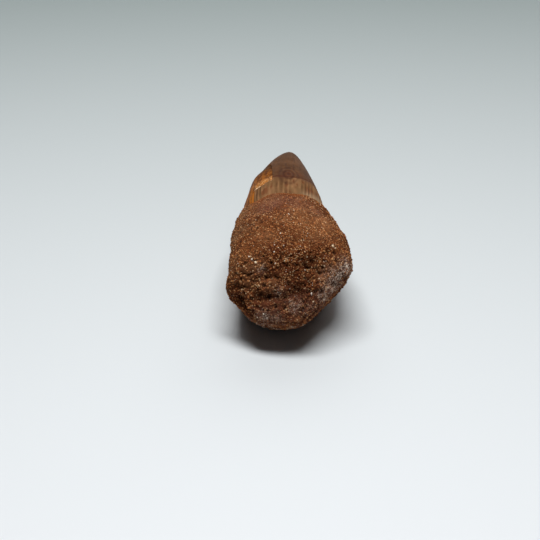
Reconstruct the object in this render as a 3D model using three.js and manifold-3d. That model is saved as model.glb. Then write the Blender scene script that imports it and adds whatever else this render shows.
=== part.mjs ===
// A fossil tooth of a spinosaurus, its base still gripped by a lump of red sandstone.
// Millimetres, +Z up. +Y runs from the broken end of the sandstone to the tip of the crown.
// The part lies on the flat underside of the sandstone, at z = 0. Places below are measured
// from the broken end; the finished part is then moved so that its origin is under its middle.

import * as THREE from "three";
import { mergeVertices } from "three/addons/utils/BufferGeometryUtils.js";
import Module from "manifold-3d";

const wasm = await Module();
wasm.setup();

// ---------- Driving dimensions of the tooth ----------

// The middle line of the tooth: its buried end, the point that bends it, and its tip.
const BURIED_END = new THREE.Vector3(-0.2, 20.0, 12.4);
const RECURVE_POINT = new THREE.Vector3(-0.8, 43.6, 11.0);
const TIP = new THREE.Vector3(1.9, 73.4, 3.5);
const CROWN_LENGTH = 34;          // along the middle line, from the tip to the rock at the sides
const CROWN_HALF_WIDTH = 9.0;     // at CROWN_LENGTH from the tip
const CROWN_SWELL = 0.68;         // power by which the half-width grows from the tip
const CROWN_FLATTENING = 0.9;     // height of a section over its width
const BASE_ROUNDING = 14;         // length over which the buried end rounds off

const FLUTE_COUNT = 56;           // all round the tooth
const FLUTE_DEPTH = 0.28;
const FLUTES_START = 32.7;        // distance from the tip where the flutes begin
const FLUTES_FULL = 34.5;         // and where they reach their full depth
const CARINA_HEIGHT = 0.3;        // the two cutting ridges, at the sides
const CARINA_HALF_ANGLE = 0.13;
const CARINA_RISES = [3, 10];     // distances from the tip over which each ridge rises
const CARINA_SINKS = [36, 44];    // and over which it sinks into the base

// A flake broken out of the enamel, upper left: distances from the tip, angles from +X over +Z.
// It is deepest at its upper edge and shallows to nothing round the left side.
const SCAR = { from: 19, to: 36.2, fromAngle: 1.88, toAngle: 2.7, depth: 0.5 };
const SCAR_EDGE = 1.2;            // length over which the flake's ends step down
const SCAR_EDGE_ANGLE = 0.1;      // angle over which its upper edge does

// The left flank bulges beside the flake and is pinched near the rock: each at a distance from
// the tip and an angle, fading out over its reach and its half-angle.
const LEFT_FLANK = [
  { name: "bulge", at: 25.0, reach: 3.5, angle: 2.65, halfAngle: 0.5, height: 0.4 },
  { name: "pinch", at: 34.5, reach: 4.5, angle: 2.95, halfAngle: 0.7, height: -0.45 },
];

const TOOTH_ROWS = 18;
const TOOTH_ROW_CROWDING = 1.7;   // rows close up towards the blunt tip
const TIP_LEAST_REACH = 0.05;     // keeps the first ring off the axis
const RELIEF_FULL_WIDTH = 2;      // sections narrower than this have less relief

// ---------- Driving dimensions of the sandstone ----------

const LUMP_CENTRE = new THREE.Vector3(0.3, 16.4, 10.1);
const LUMP_ROUNDING = 14;         // a higher number makes sharper edges between the fracture faces
const LUMP_DETAIL = 14;           // subdivisions of the sphere that is shaped into the lump
const SOCKET_CLEARANCE = 0.3;
const SOCKET_COLUMNS = 42;        // flat sides of the socket, all round

// Fracture faces: azimuth from +X towards +Y, elevation, and distance from the lump's centre.
const FRACTURE_FACES = [
  { name: "broken end, upper", azimuth: -90, elevation: 27, distance: 13.6 },
  { name: "broken end, lower", azimuth: -92, elevation: -20, distance: 16.0 },
  { name: "broken end, foot", azimuth: -90, elevation: -54, distance: 12.9 },
  { name: "end, lower left", azimuth: -150, elevation: -35, distance: 13.1 },
  { name: "end, lower right", azimuth: -32, elevation: -36, distance: 11.25 },
  { name: "end, right corner", azimuth: -16, elevation: -21, distance: 12.9 },
  { name: "end, upper right", azimuth: -48, elevation: 22, distance: 15.2 },
  { name: "end, upper left", azimuth: -132, elevation: 18, distance: 16.4 },
  { name: "left side", azimuth: 178, elevation: -3, distance: 12.2 },
  { name: "left side, upper", azimuth: 173, elevation: 12, distance: 12.3 },
  { name: "left side, far", azimuth: 160, elevation: 20, distance: 15.7 },
  { name: "right side", azimuth: 6, elevation: 8, distance: 14.0 },
  { name: "right side, far", azimuth: 22, elevation: 28, distance: 15.1 },
  { name: "top", azimuth: 90, elevation: 86, distance: 10.6 },
  { name: "upper left", azimuth: 165, elevation: 52, distance: 12.3 },
  { name: "upper right", azimuth: 15, elevation: 55, distance: 12.5 },
  { name: "lower left, far", azimuth: 165, elevation: -35, distance: 12.8 },
  { name: "lower right, far", azimuth: 18, elevation: -35, distance: 13.6 },
  { name: "crown end", azimuth: 78, elevation: 28.5, distance: 18.7 },
  { name: "crown end, underside", azimuth: 96, elevation: -22, distance: 21.6 },
];

// Hollows (negative height) and bosses on the lump, each along a short line from one point to another.
const RELIEF = [
  { name: "ledge, left", from: [-9.2, 3.2, 11.4], to: [-3.6, 2.6, 12.3], reach: 1.3, height: -0.6 },
  { name: "ledge, right", from: [-3.6, 2.6, 12.3], to: [3.4, 3.0, 13.4], reach: 1.2, height: -0.5 },
  { name: "ridge over the ledge", from: [-5.4, 3.5, 14.6], to: [-1.0, 3.3, 14.5], reach: 1.4, height: 0.4 },
  { name: "lobe under the ledge", from: [-3.5, 1.0, 9.4], to: [4.2, 1.1, 9.8], reach: 2.6, height: 0.6 },
  { name: "hollow, left", from: [-4.6, 4.5, 16.6], to: [-3.2, 4.3, 16.2], reach: 1.4, height: -0.5 },
  { name: "knob, upper left", from: [-6.4, 5.7, 19.2], to: [-6.4, 5.7, 19.2], reach: 1.3, height: 0.6 },
  { name: "hollow, middle", from: [2.6, 6.4, 19.4], to: [6.4, 6.0, 17.2], reach: 2.4, height: -0.6 },
  { name: "hollow, upper right", from: [9.0, 8.8, 19.6], to: [10.4, 8.8, 18.8], reach: 1.5, height: -0.7 },
  { name: "right lobe", from: [13.4, 12.0, 13.0], to: [13.4, 11.0, 15.0], reach: 2.6, height: 0.8 },
  { name: "right notch", from: [10.9, 6.2, 11.4], to: [10.9, 6.6, 9.6], reach: 1.3, height: -0.7 },
  { name: "left corner", from: [-11.4, 6.8, 12.8], to: [-11.4, 7.2, 11.4], reach: 2.4, height: 0.7 },
  { name: "left crevice", from: [-9.6, 3.6, 10.4], to: [-7.4, 2.4, 8.6], reach: 1.2, height: -0.8 },
  { name: "swell, left side", from: [-10.2, 23.0, 14.0], to: [-10.0, 33.0, 11.5], reach: 3.8, height: 0.8 },
  { name: "right shoulder", from: [12.2, 20.0, 14.0], to: [11.8, 23.0, 13.0], reach: 2.2, height: 0.45 },
  { name: "scallop, right side", from: [12.6, 24.0, 7.0], to: [12.0, 28.0, 9.0], reach: 3.2, height: -0.8 },
  { name: "scallop, left side", from: [-12.0, 21.0, 5.5], to: [-11.6, 25.0, 6.5], reach: 2.8, height: -0.8 },
  { name: "bite in the lip, right", from: [9.6, 37.0, 10.0], to: [8.8, 39.0, 6.0], reach: 2.0, height: -1.3 },
  { name: "bite in the lip, left", from: [-9.4, 38.0, 4.5], to: [-7.0, 40.0, 2.5], reach: 2.0, height: -1.2 },
  { name: "lip tongue, left", from: [-9.6, 35.0, 9.0], to: [-9.4, 37.5, 8.0], reach: 1.8, height: 0.8 },
  { name: "lip tongue, high", from: [-8.4, 30.5, 15.6], to: [-3.0, 30.0, 19.3], reach: 2.0, height: 0.35 },
  { name: "dip on top", from: [1.0, 22.0, 20.5], to: [4.0, 25.0, 20.0], reach: 3.6, height: -0.4 },
];

// The rough skin of the sandstone: wavelength and height of each octave.
const ROUGHNESS = [
  { wavelength: 6.5, height: 0.45 },
  { wavelength: 2.8, height: 0.28 },
];

// ---------- Shared helpers ----------

const clamp01 = (t) => THREE.MathUtils.clamp(t, 0, 1);
const smoothstep = (from, to, value) => THREE.MathUtils.smoothstep(value, from, to);
const bump = (offset, width) => Math.exp(-((offset / width) ** 2));

// A repeatable number from 0 to 1 for each whole-numbered place.
function latticeValue(x, y, z) {
  let h = Math.imul(x, 374761393) ^ Math.imul(y, 668265263) ^ Math.imul(z, 1274126177);
  h = Math.imul(h ^ (h >>> 13), 1103515245);
  return ((h ^ (h >>> 16)) >>> 0) / 4294967295;
}

// Smooth noise from -1 to 1 that repeats its hills about once per unit.
function noise(x, y, z) {
  const cell = [x, y, z].map(Math.floor);
  const [u, v, w] = [x, y, z].map((value, i) => smoothstep(0, 1, value - cell[i]));
  let sum = 0;
  for (const i of [0, 1]) {
    for (const j of [0, 1]) {
      for (const k of [0, 1]) {
        const weight = (i ? u : 1 - u) * (j ? v : 1 - v) * (k ? w : 1 - w);
        sum += weight * latticeValue(cell[0] + i, cell[1] + j, cell[2] + k);
      }
    }
  }
  return 2 * sum - 1;
}

// Keeps only the positions, merged, so that the geometry is one closed surface.
function closedGeometry(geometry) {
  geometry.deleteAttribute("normal");
  geometry.deleteAttribute("uv");
  return mergeVertices(geometry, 1e-5);
}

function moveVertices(geometry, move) {
  const position = geometry.getAttribute("position");
  const point = new THREE.Vector3();
  for (let i = 0; i < position.count; i += 1) {
    point.fromBufferAttribute(position, i);
    const moved = move(point);
    position.setXYZ(i, moved.x, moved.y, moved.z);
  }
  return geometry;
}

function toSolid(geometry) {
  return new wasm.Manifold(
    new wasm.Mesh({
      numProp: 3,
      vertProperties: new Float32Array(geometry.getAttribute("position").array),
      triVerts: new Uint32Array(geometry.getIndex().array),
    }),
  );
}

function toGeometry(solid) {
  const mesh = solid.getMesh();
  const geometry = new THREE.BufferGeometry();
  geometry.setAttribute("position", new THREE.BufferAttribute(mesh.vertProperties, 3));
  geometry.setIndex(new THREE.BufferAttribute(mesh.triVerts, 1));
  return geometry;
}

// ---------- The tooth ----------

const middleLine = new THREE.QuadraticBezierCurve3(BURIED_END, RECURVE_POINT, TIP);
const TOOTH_LENGTH = middleLine.getLength();

// Half-width of a section at a distance from the tip, before flutes and damage.
function halfWidth(fromTip) {
  const swell = CROWN_HALF_WIDTH * (Math.min(fromTip, CROWN_LENGTH) / CROWN_LENGTH) ** CROWN_SWELL;
  const intoRounding = Math.max(0, fromTip - (TOOTH_LENGTH - BASE_ROUNDING)) / BASE_ROUNDING;
  return swell * Math.sqrt(Math.max(0, 1 - intoRounding ** 2));
}

// How much the worn, chipped and fluted surface stands off the plain section.
function toothRelief(fromTip, angle) {
  const fluted = smoothstep(FLUTES_START, FLUTES_FULL, fromTip);
  const flute = -FLUTE_DEPTH * fluted * (0.5 - 0.5 * Math.cos(FLUTE_COUNT * angle));
  const fromNearestSide = Math.asin(Math.sin(angle));
  const carina =
    bump(fromNearestSide, CARINA_HALF_ANGLE) *
    smoothstep(...CARINA_RISES, fromTip) *
    (1 - smoothstep(...CARINA_SINKS, fromTip));
  const scar =
    smoothstep(SCAR.from, SCAR.from + SCAR_EDGE, fromTip) *
    (1 - smoothstep(SCAR.to - SCAR_EDGE, SCAR.to, fromTip)) *
    smoothstep(SCAR.fromAngle, SCAR.fromAngle + SCAR_EDGE_ANGLE, angle) *
    (1 - smoothstep(SCAR.fromAngle + SCAR_EDGE_ANGLE, SCAR.toAngle, angle));
  let flank = 0;
  for (const { at, reach, angle: middle, halfAngle, height } of LEFT_FLANK) {
    flank += height * bump(fromTip - at, reach) * bump(angle - middle, halfAngle);
  }
  return flute * (1 - scar) + CARINA_HEIGHT * carina - SCAR.depth * scar + flank;
}

// Distances from the tip of the rows of vertices: even ones, and one at each edge of the relief.
function toothRows() {
  const edges = [FLUTES_START, FLUTES_FULL, SCAR.from, SCAR.from + SCAR_EDGE, SCAR.to - SCAR_EDGE, SCAR.to];
  const rows = [];
  for (let row = 0; row <= TOOTH_ROWS; row += 1) {
    const along = TOOTH_LENGTH * (row / TOOTH_ROWS) ** TOOTH_ROW_CROWDING;
    if (edges.every((edge) => Math.abs(edge - along) > SCAR_EDGE / 2)) {
      rows.push(along);
    }
  }
  return [...rows, ...edges].sort((a, b) => a - b);
}

// A body of revolution of the plain sections, bent along the middle line and given its relief.
function toothGeometry(columns, clearance, withRelief) {
  const rows = toothRows();
  const profile = rows.map((along, row) => {
    const onAxis = row === 0 || row === rows.length - 1;
    const stretched = along * (1 + (2 * clearance) / TOOTH_LENGTH);
    return new THREE.Vector2(onAxis ? 0 : 1, -stretched);
  });
  const geometry = closedGeometry(new THREE.LatheGeometry(profile.reverse(), columns));
  return moveVertices(geometry, (point) => {
    const fromTip = -point.y - clearance;
    const t = clamp01(1 - fromTip / TOOTH_LENGTH);
    const centre = middleLine.getPoint(t);
    const forward = middleLine.getTangent(t);
    const side = new THREE.Vector3().crossVectors(forward, new THREE.Vector3(0, 0, 1)).normalize();
    const up = new THREE.Vector3().crossVectors(side, forward);
    const pastTip = Math.max(0, -fromTip);
    const pastBuriedEnd = Math.max(0, fromTip - TOOTH_LENGTH);
    centre.addScaledVector(forward, pastTip - pastBuriedEnd);
    const onAxis = Math.hypot(point.x, point.z) < 0.5;
    if (onAxis) {
      return centre;
    }
    let angle = Math.atan2(point.z, point.x);
    if (angle < -Math.PI / 2) {
      angle += 2 * Math.PI;
    }
    const relief = withRelief ? toothRelief(fromTip, angle) : CARINA_HEIGHT;
    const width = halfWidth(THREE.MathUtils.clamp(fromTip, 0, TOOTH_LENGTH)) + clearance;
    const reach = Math.max(TIP_LEAST_REACH, width + relief * clamp01(width / RELIEF_FULL_WIDTH));
    centre.addScaledVector(side, reach * Math.cos(angle));
    centre.addScaledVector(up, reach * CROWN_FLATTENING * Math.sin(angle));
    return centre;
  });
}

// ---------- The sandstone ----------

const faceNormals = FRACTURE_FACES.map((face) => {
  const azimuth = THREE.MathUtils.degToRad(face.azimuth);
  const elevation = THREE.MathUtils.degToRad(face.elevation);
  return new THREE.Vector3(
    Math.cos(azimuth) * Math.cos(elevation),
    Math.sin(azimuth) * Math.cos(elevation),
    Math.sin(elevation),
  );
});

// Distance from the lump's centre to its surface in one direction: a soft meeting of the faces.
function lumpReach(direction) {
  let sum = 0;
  FRACTURE_FACES.forEach((face, i) => {
    const towards = Math.max(0, direction.dot(faceNormals[i])) / face.distance;
    sum += towards ** LUMP_ROUNDING;
  });
  return sum ** (-1 / LUMP_ROUNDING);
}

const reliefLines = RELIEF.map(
  ({ from, to }) => new THREE.Line3(new THREE.Vector3(...from), new THREE.Vector3(...to)),
);

function lumpRelief(point) {
  let height = 0;
  for (const { wavelength, height: most } of ROUGHNESS) {
    height += most * noise(point.x / wavelength, point.y / wavelength, point.z / wavelength);
  }
  RELIEF.forEach(({ reach, height: most }, i) => {
    const nearest = reliefLines[i].closestPointToPoint(point, true, new THREE.Vector3());
    height += most * bump(point.distanceTo(nearest), reach);
  });
  return height;
}

function lumpGeometry() {
  const sphere = closedGeometry(new THREE.IcosahedronGeometry(1, LUMP_DETAIL));
  return moveVertices(sphere, (point) => {
    const direction = point.clone().normalize();
    let reach = lumpReach(direction);
    reach += lumpRelief(direction.clone().multiplyScalar(reach).add(LUMP_CENTRE));
    if (direction.z < 0) {
      reach = Math.min(reach, LUMP_CENTRE.z / -direction.z);
    }
    const surface = direction.multiplyScalar(reach).add(LUMP_CENTRE);
    surface.z = Math.max(0, surface.z);
    return surface;
  });
}

// ---------- Assembly ----------

const enamel = new THREE.MeshStandardMaterial({ color: 0x7d5a3e, roughness: 0.45, metalness: 0 });
const sandstone = new THREE.MeshStandardMaterial({ color: 0x7c4e34, roughness: 0.95, metalness: 0 });

const tooth = new THREE.Mesh(toothGeometry(2 * FLUTE_COUNT, 0, true), enamel);
tooth.name = "tooth";

const lump = toSolid(lumpGeometry());
const socketCutter = toSolid(toothGeometry(SOCKET_COLUMNS, SOCKET_CLEARANCE, false));
const matrix = new THREE.Mesh(toGeometry(lump.subtract(socketCutter)), sandstone);
matrix.name = "sandstone_matrix";

const laidOut = new THREE.Group();
laidOut.add(matrix, tooth);

const middle = new THREE.Box3().setFromObject(laidOut).getCenter(new THREE.Vector3());
laidOut.position.set(-middle.x, -middle.y, 0);

const fossil = new THREE.Group();
fossil.add(laidOut);

export default fossil;
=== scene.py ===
# %% [markdown]
# # A spinosaurus tooth, still held by a lump of red sandstone
# The real thing is two bodies: the fossil tooth, a cone of brown enamel with a fluted band round
# its waist, and the sandstone that hardened round its root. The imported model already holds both
# at their true size, so this lesson only dresses them. It sculpts a finer skin for each, sows
# the sand grains as real geometry, and mixes every finish out of shader nodes.

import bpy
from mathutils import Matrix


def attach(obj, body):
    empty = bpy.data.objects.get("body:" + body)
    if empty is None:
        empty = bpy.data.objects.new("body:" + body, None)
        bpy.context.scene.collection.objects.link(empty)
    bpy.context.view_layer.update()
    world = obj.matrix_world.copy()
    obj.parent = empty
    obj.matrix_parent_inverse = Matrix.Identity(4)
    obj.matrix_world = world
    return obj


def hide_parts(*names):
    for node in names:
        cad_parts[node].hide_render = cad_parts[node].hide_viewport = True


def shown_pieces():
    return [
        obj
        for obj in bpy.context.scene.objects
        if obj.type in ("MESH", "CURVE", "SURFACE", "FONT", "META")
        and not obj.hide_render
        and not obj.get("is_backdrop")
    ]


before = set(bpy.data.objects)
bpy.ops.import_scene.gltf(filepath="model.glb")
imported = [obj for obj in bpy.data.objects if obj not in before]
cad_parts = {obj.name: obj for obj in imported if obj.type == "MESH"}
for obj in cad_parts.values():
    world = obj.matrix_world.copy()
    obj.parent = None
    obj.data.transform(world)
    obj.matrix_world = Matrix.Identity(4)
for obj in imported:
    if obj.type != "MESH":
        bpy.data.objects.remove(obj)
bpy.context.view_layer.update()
print("nodes in the frame:", sorted(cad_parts))

# %% [markdown]
# ## Two rulers
# Blender works in metres from a zero under the middle of the part. A fossil preparator would
# rather measure in millimetres from the broken end of the rock, where the lump starts. The
# packed tooth tells where that end is, because its tip is 73.4 mm away from it. Everything below
# is sculpted on this millimetre bench and only turned into metres when a mesh is made.

# %% The millimetre bench
import bmesh
import bpy
import numpy as np
from mathutils import Vector

MM = 0.001
TIP = np.array([1.9, 73.4, 3.5])


def corners_of(mesh):
    """The points of a mesh as rows of x, y, z."""
    places = np.empty(len(mesh.vertices) * 3)
    mesh.vertices.foreach_get("co", places)
    return places.reshape(-1, 3)


tooth_corners = corners_of(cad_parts["tooth"].data) / MM
bench_zero = tooth_corners[tooth_corners[:, 1].argmax()] - TIP
print("the bench starts at", bench_zero.round(2), "mm in the frame")


def to_frame(bench_points):
    """Millimetres on the bench to metres in the frame."""
    return (np.asarray(bench_points) + bench_zero) * MM


# %% [markdown]
# ## The camera
# The tooth is looked at from the broken end, from 36 degrees above the table, so that the crown
# points away and is much foreshortened. A long lens keeps the lump from swelling towards the
# viewer. The camera comes first because all later choices of scale are judged through it.

# %% The camera
VIEW_DOWN = np.radians(36)
LOOKED_AT = np.array([-3.15, 12.27, 12.35])    # the bench point in the middle of the picture
CAMERA_DISTANCE = 300
LENS = 95.4                                    # mm, on a 36 mm wide sensor

towards_camera = np.array([0, -np.cos(VIEW_DOWN), np.sin(VIEW_DOWN)])
camera = bpy.data.objects.new("camera", bpy.data.cameras.new("camera"))
camera.data.lens = LENS
camera.data.sensor_width = 36
camera.data.clip_start = 10 * MM
camera.location = to_frame(LOOKED_AT + CAMERA_DISTANCE * towards_camera)
camera.rotation_euler = (np.pi / 2 - VIEW_DOWN, 0, 0)
bpy.context.scene.collection.objects.link(camera)
bpy.context.scene.camera = camera
print("camera at", tuple(round(c, 4) for c in camera.location), "m")

# %% [markdown]
# ## Shader maths as plain expressions
# A material in Blender is a web of nodes. Wiring it by hand in Python is long and hard to read,
# so this small class wraps one socket: adding or multiplying two of them adds the Math node that
# does it, and `node` adds any other kind. Plain numbers are still worked out by Python itself.


# %% A socket that can be reckoned with
class Wire:
    """One socket of a material, on which + - * add Math nodes."""

    def __init__(self, tree, socket=None):
        self.tree = tree
        self.socket = socket

    def node(self, kind, settings, inputs, output=0):
        """Adds a node: its type, its settings, the values or links of its sockets."""
        made = self.tree.nodes.new("ShaderNode" + kind)
        for name, value in settings.items():
            if name == "stops":
                set_stops(made.color_ramp, value)
            else:
                setattr(made, name, value)
        open_sockets = [socket for socket in made.inputs if socket.enabled]
        for name, value in inputs.items():
            by_name = [socket for socket in open_sockets if socket.name == name]
            target = open_sockets[name] if isinstance(name, int) else by_name[0]
            if isinstance(value, Wire):
                self.tree.links.new(value.socket, target)
            else:
                target.default_value = value
        results = [socket for socket in made.outputs if socket.enabled]
        return Wire(self.tree, results[output])

    def math(self, operation, first, second):
        """A Math node on two sockets or numbers."""
        return self.node("Math", {"operation": operation}, {0: first, 1: second})

    def __add__(self, other):
        return self.math("ADD", self, other)

    def __sub__(self, other):
        return self.math("SUBTRACT", self, other)

    def __mul__(self, other):
        return self.math("MULTIPLY", self, other)

    def __rsub__(self, other):
        return self.math("SUBTRACT", other, self)

    __radd__ = __add__
    __rmul__ = __mul__


def set_stops(ramp, stops):
    """Gives a colour ramp its stops: rows of place and colour."""
    while len(ramp.elements) < len(stops):
        ramp.elements.new(0.5)
    for element, (place, colour) in zip(ramp.elements, stops):
        element.position = place
        element.color = colour


print("a Wire can be added, taken off and multiplied, and 1 - mask works too")

# %% [markdown]
# ## A few finishing helpers
# Colours are written the way a paint chart gives them, as six hex digits, and turned into the
# linear light that shaders add up. `swept` is a soft switch from 0 to 1, `blend` lays one colour
# over another through a mask, and `clouds` is a noise whose size is given in real millimetres.


# %% Colours, switches and clouds
def paint(chart):
    """A six-digit chart colour as linear red, green, blue and a full alpha."""
    shares = [(chart >> shift & 255) / 255 for shift in (16, 8, 0)]
    linear = [s / 12.92 if s <= 0.04045 else ((s + 0.055) / 1.055) ** 2.4 for s in shares]
    return (*linear, 1.0)


def swept(value, start, end):
    """0 before start, 1 after end, and a smooth rise between them."""
    return value.node(
        "MapRange",
        {"interpolation_type": "SMOOTHSTEP"},
        {"Value": value, "From Min": start, "From Max": end},
    )


def evenly(value, start, end):
    """0 at start, 1 at end, and a straight rise between them."""
    return value.node("MapRange", {}, {"Value": value, "From Min": start, "From Max": end})


def blend(mask, under, over):
    """Lays the colour over on the colour under, as far as the mask says."""
    return mask.node(
        "Mix",
        {"data_type": "RGBA"},
        {"Factor": mask, "A": under, "B": over},
    )


def clouds(spot, size, detail=3.0, seed=0.0, rough=0.55):
    """Noise from 0 to 1 about its middle 0.5, with clouds of a size in millimetres."""
    return spot.node(
        "TexNoise",
        {"noise_dimensions": "4D"},
        {"Vector": spot, "W": seed, "Scale": 1 / size, "Detail": detail, "Roughness": rough},
    )


print("a clay red as linear light:", [round(c, 3) for c in paint(0x8A5236)])

# %% [markdown]
# ## Starting a finish
# Every finish begins the same way: a material with its Principled shader, and the object's own
# coordinates turned into millimetres, so that a noise stays put when the piece is moved. Masks
# come from the mesh itself, as named numbers on its points, which is exact where a texture
# would have to be fitted. A Bump node turns a height into a tilt of the surface.


# %% A new finish
def carried(wire, name):
    """A number that the mesh carries for each of its points."""
    return wire.node("Attribute", {"attribute_name": name}, {}, output=2)


def new_finish(name):
    """A material, its shader node, and its own coordinates in millimetres."""
    material = bpy.data.materials.new(name)
    material.use_nodes = True
    tree = material.node_tree
    shader = tree.nodes["Principled BSDF"]
    place = Wire(tree).node("TexCoord", {}, {}, output=3)
    spot = place.node("VectorMath", {"operation": "SCALE"}, {"Vector": place, "Scale": 1 / MM})
    return material, shader, spot


def wear(shader, name, wire):
    """Feeds a wire to one socket of the shader."""
    wire.tree.links.new(wire.socket, shader.inputs[name])


def bumped(height, depth):
    """A Bump node for a height from 0 to 1 that is depth millimetres tall."""
    return height.node("Bump", {}, {"Height": height, "Distance": depth * MM, "Strength": 1.0})


print("a noise with clouds of 5 mm has a scale of", 1 / 5, "on coordinates in millimetres")

# %% [markdown]
# ## The table
# A small find like this is laid on a pale sheet of card that fades away into shade towards the
# back, and that shade is painted into the card's colour. The card is one square face, and its
# colour is the only thing that changes over it.

# %% The table
FLOOR_SIDE = 3.0
FLOOR_NEAR = paint(0xE5E9EC)
FLOOR_FAR = paint(0x8A9594)
SHADE_FROM = -90              # painted shade: the card darkens from here, in mm behind the middle of the part,
SHADE_TO = 150                # to here

floor_mesh = bpy.data.meshes.new("floor")
half = FLOOR_SIDE / 2
floor_mesh.from_pydata(
    [(-half, -half, 0), (half, -half, 0), (half, half, 0), (-half, half, 0)], [], [(0, 1, 2, 3)]
)
floor = bpy.data.objects.new("floor", floor_mesh)
bpy.context.scene.collection.objects.link(floor)
card, card_shader, card_spot = new_finish("pale_card")
far_back = card_spot.node("SeparateXYZ", {}, {0: card_spot}, output=1)
# painted shade: the card's colour darkens from near to far, in place of the light's falloff
wear(card_shader, "Base Color", blend(evenly(far_back, SHADE_FROM, SHADE_TO), FLOOR_NEAR, FLOOR_FAR))
card_shader.inputs["Roughness"].default_value = 0.6
floor_mesh.materials.append(card)
floor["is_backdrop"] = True
print("the card is", FLOOR_SIDE, "m square")

# %% [markdown]
# ## The light
# Two area lamps do it, because a wide lamp gives a soft edge to the shadow. A long one hangs
# overhead, turned a little, so that the shadow leans to one side. A window stands far behind.
# The broken end faces away from both: the top glows, the end is half in shade, and the shadow
# falls forward. A faint fill from all round keeps the pits from going black.

# %% The lamps and the fill
LAMPS = [                     # name, place, width and depth in metres, watts, turn
    ("overhead_lamp", (-0.004, 0.012, 0.42), (0.30, 0.10), 1.95, -0.35),
    ("window_behind", (0.05, 0.50, 0.45), (0.90, 0.40), 1.30, 0.0),
]
FILL = 0.042

for name, place, (width, depth), watts, turned in LAMPS:
    lamp = bpy.data.objects.new(name, bpy.data.lights.new(name, "AREA"))
    lamp.data.shape = "RECTANGLE"
    lamp.data.size = width
    lamp.data.size_y = depth
    lamp.data.energy = watts
    lamp.location = place
    leans = np.arctan2(place[:2], place[2])
    lamp.rotation_euler = (-leans[1], leans[0], turned)
    bpy.context.scene.collection.objects.link(lamp)

room = bpy.data.worlds.new("room")
room.use_nodes = True
room.node_tree.nodes["Background"].inputs["Color"].default_value = (0.93, 0.97, 1.0, 1)
room.node_tree.nodes["Background"].inputs["Strength"].default_value = FILL
bpy.context.scene.world = room
bpy.context.scene.view_settings.view_transform = "Standard"
print("lamps:", ", ".join(name for name, *_ in LAMPS), "and a fill of", FILL)

# %% [markdown]
# ## Noise that sculpts
# Grit, pits and worn edges are random but must come out the same each time. Both helpers start
# from a hash, a scrambling of whole numbers that always gives the same answer. `hills` blends
# it smoothly between the corners of a grid, and `pebbles` scatters one point in each box of the
# grid and tells how far the nearest one is, which suits anything that is packed or pitted.


# %% Hills and pebbles
def scrambled(boxes, seed):
    """A number from 0 to 1 for each row of whole numbers."""
    primes = (374761393, 668265263, 1274126177)
    h = np.full(len(boxes), seed * 2654435761 % 2**32, np.uint64)
    for column, prime in enumerate(primes):
        h ^= (boxes[:, column].astype(np.int64) * prime).astype(np.uint64) & 0xFFFFFFFF
        h = (h ^ (h >> np.uint64(13))) * np.uint64(1103515245) & np.uint64(0xFFFFFFFF)
    return (h ^ (h >> np.uint64(16))) / 2**32


def hills(points, size, seed):
    """Smooth noise from -1 to 1 whose hills are about size millimetres apart."""
    places = points / size
    box = np.floor(places)
    share = places - box
    share = share * share * (3 - 2 * share)
    total = np.zeros(len(points))
    for corner in np.ndindex(2, 2, 2):
        weight = np.prod(np.where(corner, share, 1 - share), axis=1)
        total += weight * scrambled(box + corner, seed)
    return 2 * total - 1


def pebbles(points, size, seed):
    """Distance to the nearest scattered point, in millimetres, and that point's own number."""
    places = points / size
    box = np.floor(places)
    nearest = np.full(len(points), np.inf)
    number = np.zeros(len(points))
    for step in np.ndindex(3, 3, 3):
        neighbour = box + np.array(step) - 1
        middle = [scrambled(neighbour, seed + axis) for axis in range(3)]
        away = np.linalg.norm(neighbour + np.stack(middle, axis=1) - places, axis=1) * size
        closer = away < nearest
        nearest[closer] = away[closer]
        number[closer] = scrambled(neighbour, seed + 3)[closer]
    return nearest, number


def rise(value, start, end):
    """0 before start, 1 after end, and a smooth rise between them, for numbers."""
    share = np.clip((value - start) / (end - start), 0, 1)
    return share * share * (3 - 2 * share)


def mound(offset, width):
    """A bell: 1 where the offset is nothing, fading out over the width."""
    return np.exp(-((offset / width) ** 2))


probe = np.random.default_rng(1).uniform(0, 50, (2000, 3))
print("hills run from", hills(probe, 3, 1).min().round(2), "to", hills(probe, 3, 1).max().round(2))

# %% [markdown]
# ## The line of the tooth
# A tooth is a cone bent along a curve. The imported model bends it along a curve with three
# handles, and these are the same numbers, so the finer skin lies exactly over the solid. A place
# on the crown is then two plain numbers: how far it is from the tip, and the angle round it.

# %% The bent cone
BURIED_END = np.array([-0.2, 20.0, 12.4])
RECURVE_POINT = np.array([-0.8, 43.6, 11.0])
CROWN_LENGTH = 34             # from the tip to where it is as wide as it gets
CROWN_HALF_WIDTH = 9.0
CROWN_SWELL = 0.68            # the power by which it widens: below 1 the tip is blunt
CROWN_FLATTENING = 0.9        # its height as a share of its width
BASE_ROUNDING = 14            # length of the rounding at the buried end


def middle_line(t):
    """Points of the middle line for shares of its length, from the buried end to the tip."""
    t = np.asarray(t, float)[..., None]
    return (1 - t) ** 2 * BURIED_END + 2 * t * (1 - t) * RECURVE_POINT + t * t * TIP


TOOTH_LENGTH = np.linalg.norm(np.diff(middle_line(np.linspace(0, 1, 2001)), axis=0), axis=1).sum()


def half_width(from_tip):
    """Half the tooth's width at a distance from its tip."""
    swell = CROWN_HALF_WIDTH * (np.minimum(from_tip, CROWN_LENGTH) / CROWN_LENGTH) ** CROWN_SWELL
    into_end = np.maximum(0, from_tip - (TOOTH_LENGTH - BASE_ROUNDING)) / BASE_ROUNDING
    return swell * np.sqrt(np.maximum(0, 1 - into_end**2))


def section_axes(t):
    """The middle of a section and its sideways and upward directions."""
    t = np.asarray(t, float)
    share = t[..., None]
    forward = (1 - share) * (RECURVE_POINT - BURIED_END) + share * (TIP - RECURVE_POINT)
    forward /= np.linalg.norm(forward, axis=-1, keepdims=True)
    side = np.cross(forward, [0.0, 0.0, 1.0])
    side /= np.linalg.norm(side, axis=-1, keepdims=True)
    return middle_line(t), side, np.cross(side, forward)


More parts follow.
